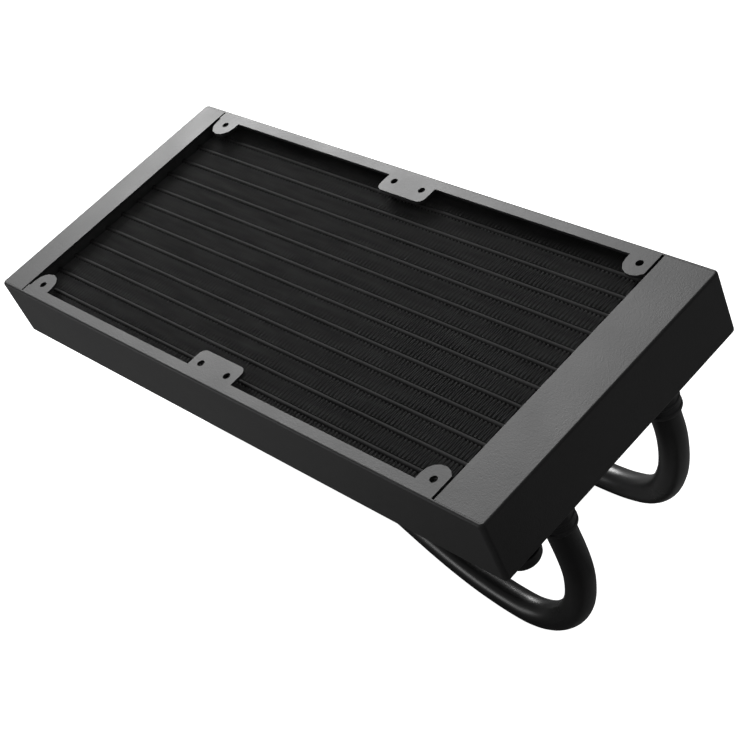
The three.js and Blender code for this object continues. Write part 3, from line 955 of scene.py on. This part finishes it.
# ---------------------------------------------------------------- the pieces
TUBE_COUNT = sum(name.startswith("flat_tube_") for name in NODES)
for side in ("near", "far"):
    add_rail(side)
add_tank("port_tank_shell", "port_tank")
add_tank("return_tank_shell", "return_tank")
add_plain_sheet("port_header_plate", "slotted_header_port")
add_plain_sheet("return_header_plate", "slotted_header_return")
add_plain_sheet("tank_divider", "divider_wall")
for number in range(1, TUBE_COUNT + 1):
    add_tube(number)
for number in range(1, TUBE_COUNT + 2):
    add_fins(number)
for letter in "ab":
    add_port(letter)
add_boss()
add_plug_seal()
add_plug()
FITTINGS = {letter: add_elbow(letter) for letter in "ab"}


# ---------------------------------------------------------------- floor and light
FLOOR_CLEARANCE = 0.3 * MM
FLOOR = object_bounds()[0][2] - FLOOR_CLEARANCE
FLOOR_REACH = 6
FLOOR_PALE = 0.9
FLOOR_GLOW = 1.0
FLOOR_BOUNCE = 0.3
LIGHT_AIM = Vector((0, 0, -0.03))
WORLD_LEVEL = 0.14


def studio_floor():
    """A pale floor: the camera sees it almost white, and it throws back less light than it shows.
    It has no underside, so the back of the radiator can be looked at from below."""
    material = bpy.data.materials.new("studio_floor")
    material.use_nodes = True
    nodes, links = material.node_tree.nodes, material.node_tree.links
    nodes.remove(nodes["Principled BSDF"])
    seen = nodes.new("ShaderNodeAddShader")
    glow = nodes.new("ShaderNodeEmission")
    glow.inputs["Strength"].default_value = FLOOR_GLOW
    pale = nodes.new("ShaderNodeBsdfDiffuse")
    pale.inputs["Color"].default_value = (*(FLOOR_PALE,) * 3, 1)
    links.new(glow.outputs["Emission"], seen.inputs[0])
    links.new(pale.outputs["BSDF"], seen.inputs[1])
    thrown = nodes.new("ShaderNodeBsdfDiffuse")
    thrown.inputs["Color"].default_value = (*(FLOOR_BOUNCE,) * 3, 1)
    ray = nodes.new("ShaderNodeLightPath")
    mix = nodes.new("ShaderNodeMixShader")
    links.new(ray.outputs["Is Camera Ray"], mix.inputs["Fac"])
    links.new(thrown.outputs["BSDF"], mix.inputs[1])
    links.new(seen.outputs["Shader"], mix.inputs[2])
    clear = nodes.new("ShaderNodeBsdfTransparent")
    side = nodes.new("ShaderNodeNewGeometry")
    top_only = nodes.new("ShaderNodeMixShader")
    links.new(side.outputs["Backfacing"], top_only.inputs["Fac"])
    links.new(mix.outputs["Shader"], top_only.inputs[1])
    links.new(clear.outputs["BSDF"], top_only.inputs[2])
    links.new(top_only.outputs["Shader"], nodes["Material Output"].inputs["Surface"])
    return material


def add_floor():
    mesh = bpy.data.meshes.new("studio_floor")
    corners = [(x * FLOOR_REACH, y * FLOOR_REACH, FLOOR) for x, y in ((-1, -1), (1, -1), (1, 1), (-1, 1))]
    mesh.from_pydata(corners, [], [(0, 1, 2, 3)])
    mesh.materials.append(studio_floor())
    floor = bpy.data.objects.new("studio_floor", mesh)
    bpy.context.collection.objects.link(floor)


def softbox(name, at, size, power):
    """A rectangular light that faces the middle of the radiator."""
    data = bpy.data.lights.new(name, "AREA")
    data.shape = "RECTANGLE"
    data.size, data.size_y = size
    data.energy = power
    light = bpy.data.objects.new(name, data)
    bpy.context.collection.objects.link(light)
    back = Vector(at) - LIGHT_AIM
    light.matrix_world = Matrix.Translation(at) @ back.to_track_quat("Z", "Y").to_matrix().to_4x4()


def add_world(level):
    world = bpy.data.worlds.new("studio")
    world.use_nodes = True
    world.node_tree.nodes["Background"].inputs["Color"].default_value = (level, level, level, 1)
    bpy.context.scene.world = world


add_floor()
add_world(WORLD_LEVEL)
softbox("key", (-1.36, 0.84, 0.70), (0.6, 0.6), 24)
softbox("overhead", (-0.9, 0.5, 1.15), (0.8, 0.8), 4.5)
softbox("low_fill", (-0.75, -0.85, 0.1), (0.5, 0.25), 1.5)
bpy.context.scene.view_settings.view_transform = "Standard"
